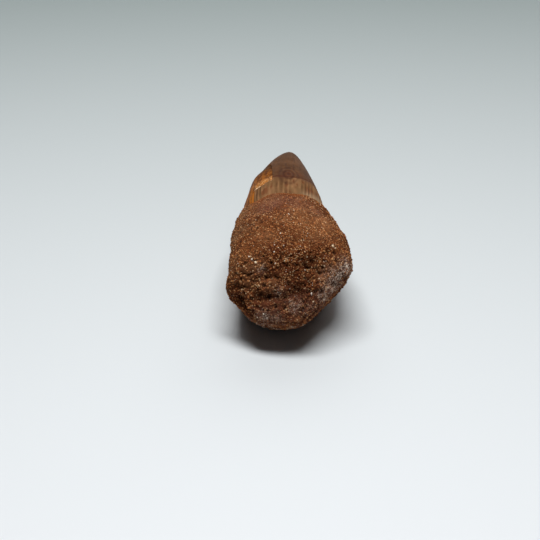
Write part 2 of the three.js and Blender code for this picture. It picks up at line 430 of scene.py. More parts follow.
def crown_points(from_tip, angle, proud):
    """Places on the crown, proud of its plain section by some millimetres."""
    middle, side, up = section_axes(1 - from_tip / TOOTH_LENGTH)
    width = half_width(from_tip)
    reach = np.maximum(0.02, width + proud * np.clip(width / 2, 0, 1))
    across = (reach * np.cos(angle))[..., None] * side
    return middle + across + (reach * CROWN_FLATTENING * np.sin(angle))[..., None] * up


def crown_place(points):
    """For any points: distance from the tip, angle, and how far outside the crown they lie."""
    shares = np.linspace(0, 1, 261)
    middles, sides, ups = section_axes(shares)
    nearest = np.array([((middles - point) ** 2).sum(axis=1).argmin() for point in points])
    offset = points - middles[nearest]
    across = (offset * sides[nearest]).sum(axis=1)
    upward = (offset * ups[nearest]).sum(axis=1) / CROWN_FLATTENING
    from_tip = (1 - shares[nearest]) * TOOTH_LENGTH
    outside = np.hypot(across, upward) - half_width(from_tip)
    return from_tip, np.arctan2(upward, across), outside


print("the tooth is", TOOTH_LENGTH.round(1), "mm long along its middle line")

# %% [markdown]
# ## What has happened to the enamel
# The crown tells its history in relief. Near the tip it is worn smooth. Past a dark, dotted line
# the flutes begin, some fifty narrow ridges that run towards the root. A flake has sprung off
# the upper left and left a shallow scar with a torn lower edge, and a small pit with rings
# round it sits just short of the line. First come their places, as distances from the tip and
# angles: 0 is the right side, a quarter turn (1.57) is the top, and the left side is 3.14.

# %% Where the marks lie
FLUTE_COUNT = 56
FLUTE_DEPTH = 0.28
DOTTED_LINE = 34.2            # from the tip: the end of the worn enamel
LINE_DIP = 4.2                # how much nearer the tip the line runs on the right
SCAR_TOP = 18.0
SCAR_FOOT = 35.2
SCAR_BORDER = 1.85            # angle of its upper border, at its foot
SCAR_FADES = 2.7              # angle at which its depth has run out
SCAR_DEPTH = 0.5
AMBER_END = 3.5               # angle at which its colour ends
STREAKS_FROM = 2.36           # angle past which amber streaks run on down to the rock
STREAKS_END = (44, 46)        # from the tip: they fade out here, inside the rock
CARINA_HEIGHT = 0.3
LEFT_FLANK = [                # from the tip, reach, angle, half its width, height
    ("bulge", 25.0, 3.5, 2.65, 0.5, 0.4),
    ("pinch", 34.5, 4.5, 2.95, 0.7, -0.45),
]
STAINS = [                    # from the tip, angle, half its length, half its width, strength
    ("blotch, middle", 39.4, 1.49, 1.9, 0.50, 1.1),
    ("blotch, middle, low", 42.4, 1.40, 1.6, 0.35, 0.9),
    ("stripe, right of it", 37.6, 1.22, 1.4, 0.30, 0.8),
    ("stripe, right, high", 35.8, 1.30, 1.8, 0.40, 0.9),
    ("right flank, inner", 35.2, 1.06, 1.8, 0.60, 1.0),
    ("right flank", 36.6, 0.76, 1.6, 0.60, 0.9),
    ("right flank, outer", 36.0, 0.57, 1.8, 0.55, 0.9),
    ("right of the middle", 38.0, 1.29, 3.2, 0.8, 0.45),
    ("right third", 37.2, 0.85, 3.4, 2.0, 0.65),
    ("left of the middle", 38.8, 1.88, 2.0, 0.32, 0.7),
    ("under the scar, left", 41.0, 2.10, 2.2, 0.40, 0.7),
    ("along the lip", 44.6, 1.15, 0.9, 1.80, 0.8),
    ("over the line, left", 31.6, 1.60, 1.5, 0.60, 0.6),
    ("round the ring", 32.0, 1.44, 3.0, 1.8, 0.8),
    ("left third", 39.6, 2.02, 3.2, 0.9, 0.75),
    ("over the line, right", 30.4, 1.12, 2.6, 0.90, 0.5),
    ("over the line, far right", 29.0, 0.85, 2.2, 0.60, 0.5),
]
RING_PIT = (32.3, 1.44)       # from the tip, and angle
RING_STRETCH = 2.3            # the rings round it are drawn out along the crown
CRACKS = [                    # from the tip, from where to where, and the angle
    ("right flank", 12, 33, 0.62),
    ("left flank", 5, 19, 2.75),
    ("underside", 7, 37, -0.75),
    ("back", 16, 44, 4.15),
]

print(len(STAINS), "stains,", len(CRACKS), "cracks and", FLUTE_COUNT, "flutes")

# %% [markdown]
# ## One mask for each kind of mark
# A mask is a number from 0 to 1 that says how much of a mark there is at a place. Most are
# bells: a stain is a bell drawn out along the crown, a ring is a bell over the distance from a
# circle, a crack is a narrow bell across a wandering path. Each function takes the two crown
# numbers of all the points at once, which numpy does far faster than a loop over the points.


# %% Stains, rings and cracks
def along_skin(from_tip, angle, stretch):
    """Places for noise that is drawn out along the crown by a stretch."""
    round_it = CROWN_HALF_WIDTH * angle
    return np.stack([round_it, from_tip / stretch, np.full_like(round_it, 7.0)], axis=-1)


def stain_mask(from_tip, angle, ragged):
    """The stains, each a soft blotch with a ragged edge."""
    stain = np.zeros_like(from_tip)
    for _, at, at_angle, length, width, strong in STAINS:
        along = (from_tip - at) / length
        round_it = CROWN_HALF_WIDTH * (angle - at_angle) / width
        stain = np.maximum(stain, strong * np.exp(-(along**2) - round_it**2))
    return np.clip(stain * (0.75 + 2.0 * ragged), 0, 1)


def ring_mask(from_tip, angle):
    """A small pit with two fainter rings round it."""
    along = (from_tip - RING_PIT[0]) / RING_STRETCH
    away = np.hypot(along, CROWN_HALF_WIDTH * (angle - RING_PIT[1]))
    pit = mound(away, 0.55) + 0.8 * mound(away - 1.2, 0.32) + 0.5 * mound(away - 2.3, 0.35)
    return np.minimum(pit, 1)


def crack_mask(from_tip, angle, skin):
    """Hairline cracks that wander a little on their way."""
    crack = np.zeros_like(from_tip)
    for number, (_, start, end, at) in enumerate(CRACKS):
        path = at + 0.05 * np.sin(0.5 * from_tip + number) + 0.03 * hills(skin, 2.5, 20 + number)
        gap = half_width(from_tip) * (angle - path)
        reaches = rise(from_tip, start, start + 3) * rise(-from_tip, -end, 3 - end)
        crack = np.maximum(crack, mound(gap, 0.11) * reaches)
    return crack


middle_of_ring = ring_mask(np.array([RING_PIT[0]]), np.array([RING_PIT[1]]))
print("the ring's mask in its middle:", middle_of_ring[0].round(2))

# %% [markdown]
# ## The fluted band and the scar
# The flutes are a sine wave round the crown. Real ones are never quite alike, so the angle
# sways a little and each flute gets a strength and a start of its own. The scar is a patch
# between a curved border, a soft top and a ragged foot, and the amber colour of its floor runs
# on past the foot at the left.


# %% Every mask of the crown
def fluted_band(from_tip, angle, skin, ragged):
    """Masks for the band, for the valleys between its flutes and for the line it starts at."""
    swaying = angle + 0.02 * np.sin(5 * angle + 1) + 0.008 * hills(skin, 5, 13)
    turn = FLUTE_COUNT * swaying / 2
    uneven = np.sin(7.3 * np.floor(turn / np.pi))
    line = DOTTED_LINE + 0.7 * ragged - LINE_DIP * rise(np.cos(angle), 0.25, 0.97)
    band = rise(from_tip, line - 0.8, line + 2.6 + 2.0 * uneven)
    valley = np.sqrt(np.sin(turn) ** 2 + 0.01)
    strength = 0.62 + 0.38 * uneven + 0.40 * hills(skin, 2.5, 15)
    return {
        "band": band,
        "valley": valley * band * strength,
        "line": mound(from_tip - line, 0.45),
    }


def flake_scar(from_tip, angle, ragged):
    """Masks for the scar, its amber colour, a painted highlight on its torn foot and a paler painted
    highlight above the foot.
    """
    border = SCAR_BORDER + 0.0012 * (SCAR_FOOT - from_tip) ** 2 + 0.01 * ragged
    past_border = rise(angle, border, border + 0.025)
    foot = SCAR_FOOT + 0.8 * ragged + 1.1 * rise(angle, SCAR_BORDER, SCAR_BORDER + 0.3)
    below_top = rise(from_tip, SCAR_TOP, SCAR_TOP + 2)
    above_foot = 1 - rise(from_tip, foot - 0.35, foot)
    scar = past_border * below_top * above_foot
    scar *= 1 - rise(angle, SCAR_BORDER + 0.15, SCAR_FADES)
    run_on = rise(angle + 0.06 * ragged, STREAKS_FROM, STREAKS_FROM + 0.1)
    amber = past_border * below_top * (1 - rise(angle, AMBER_END - 0.5, AMBER_END))
    amber *= np.maximum(above_foot, run_on * (1 - rise(from_tip, *STREAKS_END)))
    return {
        "scar": scar,
        "amber": amber,
        "torn": mound(from_tip - foot + 0.3, 0.45) * past_border * (1 - run_on),
        "peach": mound(from_tip - foot + 2.2, 1.6) * past_border * (1 - run_on),
    }


def crown_marks(from_tip, angle):
    """Every mark on the crown as a mask from 0 to 1, for arrays of the two crown numbers."""
    skin = along_skin(from_tip, angle, 1.0)
    ragged = 0.5 * hills(skin, 1.6, 11) + 0.25 * hills(skin, 0.6, 12)
    return {
        **fluted_band(from_tip, angle, skin, ragged),
        **flake_scar(from_tip, angle, ragged),
        "stain": stain_mask(from_tip, angle, ragged),
        "streak": 0.5 + 0.5 * hills(along_skin(from_tip, angle, 7.0), 0.55, 14),
        "pit": ring_mask(from_tip, angle),
        "crack": crack_mask(from_tip, angle, skin),
    }


sample = np.full(3, 40.0), np.array([0.5, 1.5, 2.5])
sample_marks = crown_marks(*sample)
print("the crown has masks for", ", ".join(sample_marks))

# %% [markdown]
# ## From masks to relief
# The masks say where, and the relief says how deep. It is the sum of all that stands proud or
# lies low, in millimetres: fine veins, the flutes, the steps in the floor of the scar, the two
# cutting ridges along the sides, and the swelling and the pinch of the left flank.


# %% The relief of the crown
def carina(from_tip, angle):
    """The two cutting ridges, one along each side."""
    fades = rise(from_tip, 3, 10) * (1 - rise(from_tip, 36, 44))
    return mound(np.arcsin(np.sin(angle)), 0.13) * fades


def crown_relief(from_tip, angle, marks):
    """Millimetres by which the marked surface stands proud of the plain cone."""
    skin = along_skin(from_tip, angle, 4.0)
    veins = 0.03 * hills(skin, 0.5, 31) + 0.03 * hills(skin, 1.3, 32)
    steps = 0.08 * hills(along_skin(from_tip, angle, 0.4), 1.2, 33)
    whole = 1 - marks["scar"]
    relief = whole * (veins - FLUTE_DEPTH * marks["valley"] - 0.05 * marks["band"])
    relief += marks["scar"] * (steps - SCAR_DEPTH)
    relief += CARINA_HEIGHT * carina(from_tip, angle)
    for _, at, reach, at_angle, half, height in LEFT_FLANK:
        relief += height * mound(from_tip - at, reach) * mound(angle - at_angle, half)
    return relief - 0.12 * marks["pit"] - 0.08 * marks["line"] * whole - 0.1 * marks["crack"]


print("relief at three places of the band:", crown_relief(*sample, sample_marks).round(2), "mm")

# %% [markdown]
# ## The crown as a mesh
# One closed skin is enough: rings of points from the tip to the buried end, joined by four-sided
# faces and closed by a single point at each end. The rings are close where the crown shows and
# wide where the rock hides it, and each point carries the masks for the finish to read.

# %% Build the crown
CROWN_COLUMNS = 360
SHOWN_LENGTH = 45.0
SHOWN_ROWS = 172
BURIED_ROWS = 10


def ring_skin(rows, columns):
    """Faces of a skin of rings, with a point before the first ring and one after the last."""
    ring = np.arange(columns)
    after = (ring + 1) % columns
    faces = [(0, 1 + j, 1 + k) for j, k in zip(ring, after)]
    for row in range(rows - 1):
        start = 1 + row * columns
        low, high = start + ring, start + after
        faces += list(zip(low, low + columns, high + columns, high))
    last = 1 + (rows - 1) * columns
    end = 1 + rows * columns
    return faces + [(end, last + k, last + j) for j, k in zip(ring, after)]


def new_piece(name, points, faces, masks, material, smooth=True):
    """A mesh object in the frame, from bench millimetres, with its masks and its finish."""
    mesh = bpy.data.meshes.new(name)
    mesh.from_pydata(to_frame(points), [], faces)
    for mask, values in masks.items():
        layer = mesh.attributes.new(mask, "FLOAT", "POINT")
        layer.data.foreach_set("value", np.asarray(values, np.float32))
    if smooth:
        mesh.shade_smooth()
    mesh.materials.append(material)
    piece = bpy.data.objects.new(name, mesh)
    bpy.context.scene.collection.objects.link(piece)
    return piece


shown_rows = SHOWN_LENGTH * np.linspace(0, 1, SHOWN_ROWS + 1)[1:] ** 1.1
buried_rows = np.linspace(SHOWN_LENGTH, TOOTH_LENGTH, BURIED_ROWS + 2)[1:-1]
row_places = np.concatenate([shown_rows, buried_rows])
column_angles = -np.pi / 2 + 2 * np.pi * np.arange(CROWN_COLUMNS) / CROWN_COLUMNS
ring_from_tip, ring_angle = (
    grid.ravel() for grid in np.meshgrid(row_places, column_angles, indexing="ij")
)
ring_marks = crown_marks(ring_from_tip, ring_angle)
ring_points = crown_points(
    ring_from_tip, ring_angle, crown_relief(ring_from_tip, ring_angle, ring_marks)
)
crown_skin = np.concatenate([[TIP], ring_points, [BURIED_END]])
crown_faces = ring_skin(len(row_places), CROWN_COLUMNS)
print("the crown has", len(crown_faces), "faces")

# %% [markdown]
# ## The enamel finish
# Fossil enamel is stone stained by iron, hard and with a low polish. Its ground colour is a
# mauve brown at the tip and a tan on the flutes, with a dark brown in the valleys between them
# and red-brown stains over both. Where the flake is gone the warm amber dentine shows, and it
# runs on in streaks down to the rock. All of it is one Principled shader whose colour is built
# up in layers, each let in by one of the masks on the mesh.

# %% Mix the enamel
def make_enamel():
    """Mauve-brown enamel with a tan fluted band, iron stains and an amber scar."""
    material, shader, spot = new_finish("fossil_enamel")
    mark = {name: carried(spot, name) for name in ring_marks}
    drift = clouds(spot, 5.0, seed=1)
    speckle = clouds(spot, 0.9, detail=5, seed=2)
    fleck = clouds(spot, 0.35, detail=4, seed=3)

    tip = blend(swept(drift, 0.35, 0.65), paint(0x54351D), paint(0x674429))
    tip = blend(swept(mark["streak"], 0.55, 0.85) * 0.55, tip, paint(0x432A1A))
    tip = blend(swept(speckle, 0.48, 0.68) * 0.5, tip, paint(0x4C2C1A))
    tip = blend(mark["stain"] * 0.7, tip, paint(0x683A22))
    tan = blend(swept(mark["valley"] + speckle * 0.6, 0.45, 1.4), paint(0x886240), paint(0x53331D))
    tan = blend(swept(drift + mark["streak"] * 0.4, 0.55, 0.85) * 0.7, tan, paint(0x684A2C))
    stained = swept(mark["stain"] + fleck * 0.5, 0.35, 1.05)
    tan = blend(stained * 0.85, tan, paint(0x6A3C20))
    # painted sheen: a pale strip along the right of the band, just above the rock
    tan = blend(mark["collar"] * 0.6, tan, paint(0xA48768))
    colour = blend(mark["band"], tip, tan)
    dotted = swept(mark["line"] + fleck * 1.2, 1.0, 1.5)
    colour = blend(dotted * 0.8, colour, paint(0x50281A))

    heat = swept(mark["from_tip"] + speckle * 8, 25, 37)
    amber = blend(heat, paint(0x4A2A0E), paint(0x98581A))
    streaky = clouds(spot, 0.9, detail=5, seed=5, rough=0.7)
    dark = swept(streaky * 0.6 + mark["streak"] * 0.5, 0.52, 0.66)
    amber = blend(dark * 0.8, amber, paint(0x52290C))
    amber = blend(swept(1 - streaky, 0.55, 0.68) * 0.55, amber, paint(0xB87830))
    # painted highlight: pale peach flecks on the scar's floor just above its foot
    amber = blend(mark["peach"] * swept(fleck, 0.4, 0.6) * 0.8, amber, paint(0xD09A62))
    colour = blend(swept(mark["amber"] + fleck * 0.3, 0.35, 0.65), colour, amber)
    # painted highlight: a cream line along the torn foot, where the broken edge catches the light
    colour = blend(swept(mark["torn"] + fleck * 0.5, 0.6, 0.95), colour, paint(0xE6BE94))
    colour = blend(mark["pit"] * 0.8, colour, paint(0x38180E))
    colour = blend(mark["crack"] * 0.8, colour, paint(0x2E1B14))
    wear(shader, "Base Color", colour)

    roughness = 0.5 + speckle * 0.12 + mark["band"] * 0.08 + mark["scar"] * 0.1
    wear(shader, "Roughness", roughness)
    wear(shader, "Normal", bumped(fleck + speckle * 0.5, 0.02))
    shader.inputs["Specular IOR Level"].default_value = 0.08
    return material


ROCK_EDGE = 43.9              # from the tip: where the crown shows furthest down
FURTHEST_AT = 1.9             # the angle of that place
EDGE_CLIMBS = 1.95            # how far it has climbed at an angle of 1 to either side
EDGE_CURVE = 2.44             # the power by which it climbs
SHEEN_ABOVE = 1.4            # painted sheen, a pale strip on the right: it lies this far above the rock's edge
SHEEN_WIDTH = 1.6
SHEEN_ENDS = (0.85, 1.25)    # angles between which it fades out

ring_marks["from_tip"] = ring_from_tip
rock_edge = ROCK_EDGE - EDGE_CLIMBS * np.abs(FURTHEST_AT - ring_angle) ** EDGE_CURVE
on_right = 1 - rise(ring_angle, *SHEEN_ENDS)
above_edge = rock_edge - ring_from_tip
ring_marks["collar"] = mound(above_edge - SHEEN_ABOVE, SHEEN_WIDTH) * on_right
ends = {name: np.concatenate([[values[0]], values, [values[-1]]]) for name, values in ring_marks.items()}
crown = new_piece("fossil_crown", crown_skin, crown_faces, ends, make_enamel())
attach(crown, "root")
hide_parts("tooth")
print("enamel masks:", ", ".join(sorted(ends)))

# %% [markdown]
# ## The block of sandstone
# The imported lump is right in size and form, but its triangles are coarse and it has a socket
# that nobody sees. So the finer block starts from it: the faces that lie close to the crown
# are the socket's walls, and they are deleted. The rim that is left is filled again.

# %% Close the lump
SOCKET_REACH = 0.75           # the socket's walls lie closer to the crown than this


def closed_lump():
    """The packed sandstone on the bench, without its socket."""
    shell = bmesh.new()
    shell.from_mesh(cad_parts["sandstone_matrix"].data)
    bmesh.ops.remove_doubles(shell, verts=shell.verts, dist=0.001 * MM)
    for vertex in shell.verts:
        vertex.co = vertex.co / MM - Vector(bench_zero)
    outside = crown_place(np.array([vertex.co[:] for vertex in shell.verts]))[2]
    walls = [f for f in shell.faces if all(outside[v.index] < SOCKET_REACH for v in f.verts)]
    bmesh.ops.delete(shell, geom=walls, context="FACES")
    rim = [edge for edge in shell.edges if edge.is_boundary]
    bmesh.ops.holes_fill(shell, edges=rim)
    bmesh.ops.triangulate(shell, faces=shell.faces)
    mesh = bpy.data.meshes.new("closed_lump")
    shell.to_mesh(mesh)
    print("took off", len(walls), "socket faces, closed a rim of", len(rim), "edges")
    return mesh


lump = closed_lump()

# %% [markdown]
# ## An even net
# Relief needs points that are small and evenly spread. The voxel remesh, a modifier, fills the
# lump with tiny cubes and lays a net of squares over them. A Laplacian smoothing, in which each
# point moves towards the middle of its neighbours, then wipes out the facets of the old
# triangles. It is done in numpy, where it takes a moment for all the points together.

# %% Lay a net over the lump
NET = 0.22                    # side of one square of the net
FACET_SMOOTHING = 14          # rounds
FACET_STEP = 0.6              # the share of the way that a point goes in one round


def remeshed(mesh, side):
    """An even net of squares over a closed mesh."""
    holder = bpy.data.objects.new("remesh_holder", mesh)
    bpy.context.scene.collection.objects.link(holder)
    net = holder.modifiers.new("net", "REMESH")
    net.mode = "VOXEL"
    net.voxel_size = side
    graph = bpy.context.evaluated_depsgraph_get()
    result = bpy.data.meshes.new_from_object(holder.evaluated_get(graph))
    bpy.data.objects.remove(holder)
    return result


def net_of(mesh):
    """The points, edges and four-sided faces of a net."""
    edges = np.empty(len(mesh.edges) * 2, int)
    mesh.edges.foreach_get("vertices", edges)
    faces = np.empty(len(mesh.loops), int)
    mesh.loops.foreach_get("vertex_index", faces)
    return corners_of(mesh), edges.reshape(-1, 2), faces.reshape(-1, 4)


def smoothed(points, edges, rounds):
    """Moves each point towards the middle of its neighbours, several times over."""
    first, second = edges.T
    count = len(points)
    neighbours = np.bincount(first, minlength=count) + np.bincount(second, minlength=count)
    for _ in range(rounds):
        sums = [
            np.bincount(first, points[second, axis], count)
            + np.bincount(second, points[first, axis], count)
            for axis in range(3)
        ]
        points = points + FACET_STEP * (np.stack(sums, axis=1) / neighbours[:, None] - points)
    return points


def outward(points, faces):
    """The direction straight out of the net at each of its points."""
    across = points[faces[:, 2]] - points[faces[:, 0]]
    along = points[faces[:, 3]] - points[faces[:, 1]]
    normals = np.cross(across, along)
    total = np.zeros_like(points)
    for corner in range(4):
        for axis in range(3):
            total[:, axis] += np.bincount(faces[:, corner], normals[:, axis], len(points))
    return total / np.linalg.norm(total, axis=1, keepdims=True)


block_points, block_edges, block_faces = net_of(remeshed(lump, NET))
block_points = smoothed(block_points, block_edges, FACET_SMOOTHING)
print("the block's net has", len(block_faces), "squares")

# %% [markdown]
# ## The broken skin of the rock
# Handling has rubbed the top and sides, while the broken end is fresh: its grains stand up and
# dark pits lie between them. One number, the freshness, says how broken the rock is at a place
# and scales the layers of the relief, which go from swells some millimetres wide through clods
# and pits down to grit. Thin strata crop out along the low rim. The forms and pits that one
# would know this stone by have their own places.

# %% Layers, forms and pits of the rock
REST_HEIGHT = 0.25            # below this the block lies on the table and stays flat
LAYERS = [                    # hill size, height where fresh, height where rubbed
    (3.4, 0.32, 0.18),
    (1.5, 0.16, 0.11),
    (0.7, 0.22, 0.09),
]
CLOD_SIZE = 2.3               # the rock breaks in clods that stand a little apart in height
CLOD_STEP = 0.16
PIT_SIZE = 0.95
PIT_DEPTH = 0.60
RUBBED_KEEPS = 0.25           # the share of its clods and pits that rubbed rock has kept
LIP_LOSES = 0.6               # the share of its relief that the lip round the crown has lost
STRATA_HEIGHT = 0.17
FORMS = [                     # from, to, reach, height: the forms of the broken end
    ("ledge, left", (-7.0, 3.5, 13.8), (-4.4, 3.0, 12.2), 0.5, -0.16),
    ("ledge, middle", (-2.9, 3.2, 12.6), (-0.8, 2.4, 11.8), 0.5, -0.20),
    ("ledge, right", (1.0, 3.2, 13.2), (4.0, 3.0, 12.7), 0.5, -0.16),
    ("lobe under the ledge", (-3.0, 1.0, 10.4), (5.0, 1.4, 10.6), 1.6, -0.20),
    ("crevice, left", (-9.6, 4.4, 10.8), (-8.2, 3.2, 9.2), 0.5, -0.70),
    ("crease under the dusty face", (8.4, 5.2, 13.0), (11.0, 6.6, 13.6), 0.4, -0.50),
    ("low rim, upper stratum", (-0.5, 0.3, 8.4), (3.4, 0.5, 8.4), 0.35, 0.25),
    ("low rim, groove", (-4.2, 1.0, 6.9), (3.4, 0.7, 7.3), 0.4, -0.50),
    ("low rim, lip", (-4.0, 1.7, 5.9), (2.6, 1.2, 6.2), 0.5, 0.30),
]
DARK_PITS = [                 # single deep pits and how far they reach
    ((-4.9, 3.1, 13.1), 0.50), ((-3.3, 3.2, 12.1), 0.55), ((-1.5, 2.9, 12.6), 0.50),
    ((-0.1, 2.6, 12.5), 0.50), ((0.8, 3.2, 13.8), 0.35), ((2.8, 3.5, 13.4), 0.45),
    ((4.9, 3.3, 13.4), 0.45), ((-2.0, 1.5, 11.0), 0.50), ((-0.1, 1.1, 10.8), 0.40),
    ((10.2, 6.2, 13.3), 0.60), ((-8.9, 4.1, 14.0), 0.60), ((-9.5, 4.5, 10.5), 0.80),
    ((-8.6, 3.6, 10.0), 0.80), ((-3.5, 11.4, 21.0), 0.35), ((3.8, 11.2, 20.9), 0.40),
    ((5.3, 10.1, 20.9), 0.40), ((7.1, 8.6, 20.5), 0.45), ((8.8, 9.2, 19.3), 0.70),
    ((10.2, 9.7, 18.6), 0.60), ((5.3, 6.4, 18.7), 0.60), ((4.4, 5.7, 17.6), 0.60),
    ((0.5, 3.7, 15.4), 0.30), ((-3.8, 4.6, 16.1), 0.60), ((-4.1, 5.1, 17.6), 0.50),
    ((-2.9, 5.6, 19.0), 0.30), ((2.8, 7.2, 20.4), 0.40), ((6.9, 5.6, 16.2), 0.40),
    ((7.7, 6.4, 17.3), 0.40), ((-7.6, 4.7, 16.6), 0.35), ((-9.9, 4.8, 14.3), 0.40),
]

print(len(LAYERS), "layers,", len(FORMS), "forms and", len(DARK_PITS), "dark pits")

# %% [markdown]
# ## Fresh, rubbed and layered
# Two things vary over the whole rock. The broken end is a region with a ragged edge, and every
# face that looks forward and down is fresh as well. The strata are a sine wave of the height,
# bent and interrupted by noise, because real layers swell, thin out and stop.


# %% Freshness and strata
def freshness(points, normals):
    """1 on the broken end and the underside, 0 on the rubbed top and round the crown."""
    further_in = 4.0 * rise(points[:, 0], -7, 0) - 2.0
    end = 1 - rise(points[:, 1] + 1.6 * hills(points, 3.5, 70) - further_in, 3.5, 11.5)
    facing = rise(-normals[:, 1] - 0.6 * normals[:, 2], 0.1, 0.8)
    return np.clip(np.maximum(end * 0.9, facing), 0, 1)


def off_line(points, start, end):
    """Distance of each point from a short straight line."""
    start, run = np.array(start), np.subtract(end, start)
    share = np.clip((points - start) @ run / max(run @ run, 1e-9), 0, 1)
    return np.linalg.norm(points - start - share[:, None] * run, axis=1)


def strata(points):
    """1 on the thin layers that stand out along the low rim, -1 in the grooves between."""
    at_rim = (1 - rise(points[:, 2], 6.5, 8.5)) * (1 - rise(points[:, 1], 4, 8))
    unbroken = rise(hills(points, 1.8, 64), -0.4, 0.2)
    return at_rim * unbroken * np.sin(5.4 * points[:, 2] + 7.0 * hills(points, 3.2, 63))


print("strata at the low rim:", strata(np.array([[0.0, 1.5, 6.0], [2.0, 1.5, 6.0]])).round(2))

# %% [markdown]
# ## Sculpting by numbers
# All the relief is added up first, and only then is each point of the net moved straight out
# by it. Near the table the relief fades away, so that the block still lies flat, and it is held
# back where the lip meets the crown. The pits are kept as a mask too, to paint shade into them.


# %% Sculpt the block
def block_relief(points, fresh):
    """Millimetres by which the skin stands proud of the smooth block."""
    relief = sum(
        height * mound(off_line(points, start, end), reach) for _, start, end, reach, height in FORMS
    )
    relief += STRATA_HEIGHT * strata(points)
    rough = RUBBED_KEEPS + (1 - RUBBED_KEEPS) * fresh
    warped = points + 0.5 * np.stack([hills(points, 1.4, 80 + axis) for axis in range(3)], axis=1)
    _, clod = pebbles(warped, CLOD_SIZE, 46)
    relief += CLOD_STEP * rough * (clod - 0.5)
    for number, (size, broken, rubbed) in enumerate(LAYERS):
        relief += (rubbed + (broken - rubbed) * fresh) * hills(points, size, 40 + number)
    away, which = pebbles(points, PIT_SIZE, 50)
    wide = 0.12 + 0.30 * which
    pits = mound(away, wide) * (which > 0.45) * rough
    for middle, reach in DARK_PITS:
        pits = np.maximum(pits, mound(off_line(points, middle, middle), reach))
    return relief - PIT_DEPTH * pits, pits


block_out = outward(block_points, block_faces)
block_fresh = freshness(block_points, block_out)
relief, pits = block_relief(block_points, block_fresh)
_, _, outside_crown = crown_place(block_points)
at_lip = 1 - rise(outside_crown, 0.3, 1.2)
relief *= 1 - LIP_LOSES * at_lip
relief *= rise(block_points[:, 2], 0.05, REST_HEIGHT)
block_points = block_points + relief[:, None] * block_out
block_points[:, 2] = np.maximum(block_points[:, 2], 0)
block_out = outward(block_points, block_faces)
print("the relief runs from", relief.min().round(2), "to", relief.max().round(2), "mm")
